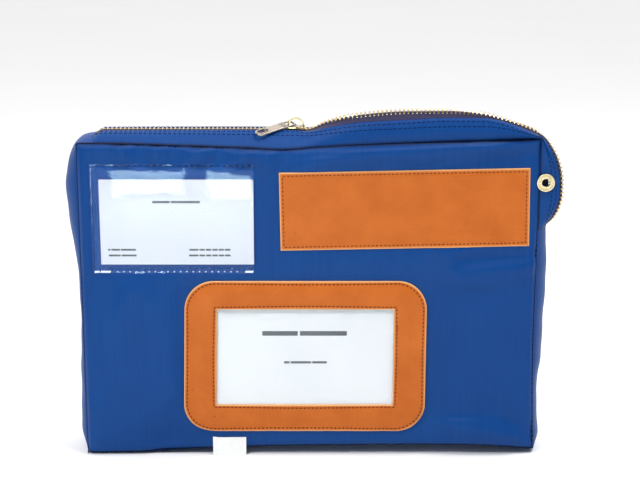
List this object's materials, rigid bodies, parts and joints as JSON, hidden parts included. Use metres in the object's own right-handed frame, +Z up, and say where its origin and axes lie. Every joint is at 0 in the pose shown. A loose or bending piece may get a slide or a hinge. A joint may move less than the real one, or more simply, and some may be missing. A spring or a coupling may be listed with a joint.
{
  "type": "cash deposit bag",
  "caption": "Gusseted blue fabric deposit bag with a brass zip round one top corner, an eyelet, a clear card pocket, a leather patch and a leather address frame.",
  "frame": {"origin": "middle of the flat base that the bag stands on", "axes": "+Z up, +X to the right of someone facing the front, the front panel faces -Y"},
  "size_m": [0.2966, 0.0435, 0.2208],
  "materials": {
    "blue_nylon": "coated nylon weave, soft sheen",
    "binding": "matte woven tape",
    "zip_tape": "dark herringbone tape",
    "brass": "bright brass, lightly rubbed",
    "pull_brass": "satin antique brass",
    "clear_film": "clear glossy film",
    "card": "smooth white card",
    "tan_leather": "tan leather, fine grain",
    "label": "white woven satin label"
  },
  "bodies": {
    "bag": {"front_panel": "blue_nylon", "back_panel": "blue_nylon", "left_gusset": "blue_nylon", "right_gusset": "blue_nylon", "bottom_gusset": "blue_nylon", "zip_gusset_front": "blue_nylon", "zip_gusset_back": "blue_nylon", "front_seam_binding": "binding", "back_seam_binding": "binding", "zip_tape_front": "zip_tape", "zip_tape_back": "zip_tape", "zip_teeth_front": "brass", "zip_teeth_back": "brass", "eyelet": "brass", "eyelet_washer": "brass", "card_pocket": "clear_film", "address_window": "clear_film", "writing_patch": "tan_leather", "address_frame": "tan_leather", "seam_label": "label"},
    "slider": {"slider_body": "brass", "slider_bail": "brass"},
    "pull": {"pull_tab": "pull_brass"},
    "business_card": {"business_card": "card"},
    "address_card": {"address_card": "card"}
  },
  "joints": [
    {"name": "slider_slide", "type": "slide", "parent": "bag", "child": "slider", "axis": [1, 0, 0], "range_m": [-0.108, 0.12], "deforming": ["zip_gusset_front", "zip_gusset_back", "zip_tape_front", "zip_tape_back", "zip_teeth_front", "zip_teeth_back"]},
    {"name": "pull_swing", "type": "hinge", "parent": "slider", "child": "pull", "pos_m": [-0.0097, 0, 0.2098], "axis": [-0.5736, 0.7791, 0.2531], "range_deg": [0, 120]},
    {"name": "business_card_slide", "type": "slide", "parent": "bag", "child": "business_card", "axis": [1, 0, 0], "range_m": [0, 0.096]},
    {"name": "address_card_slide", "type": "slide", "parent": "bag", "child": "address_card", "axis": [1, 0, 0], "range_m": [0, 0.136]}
  ]
}
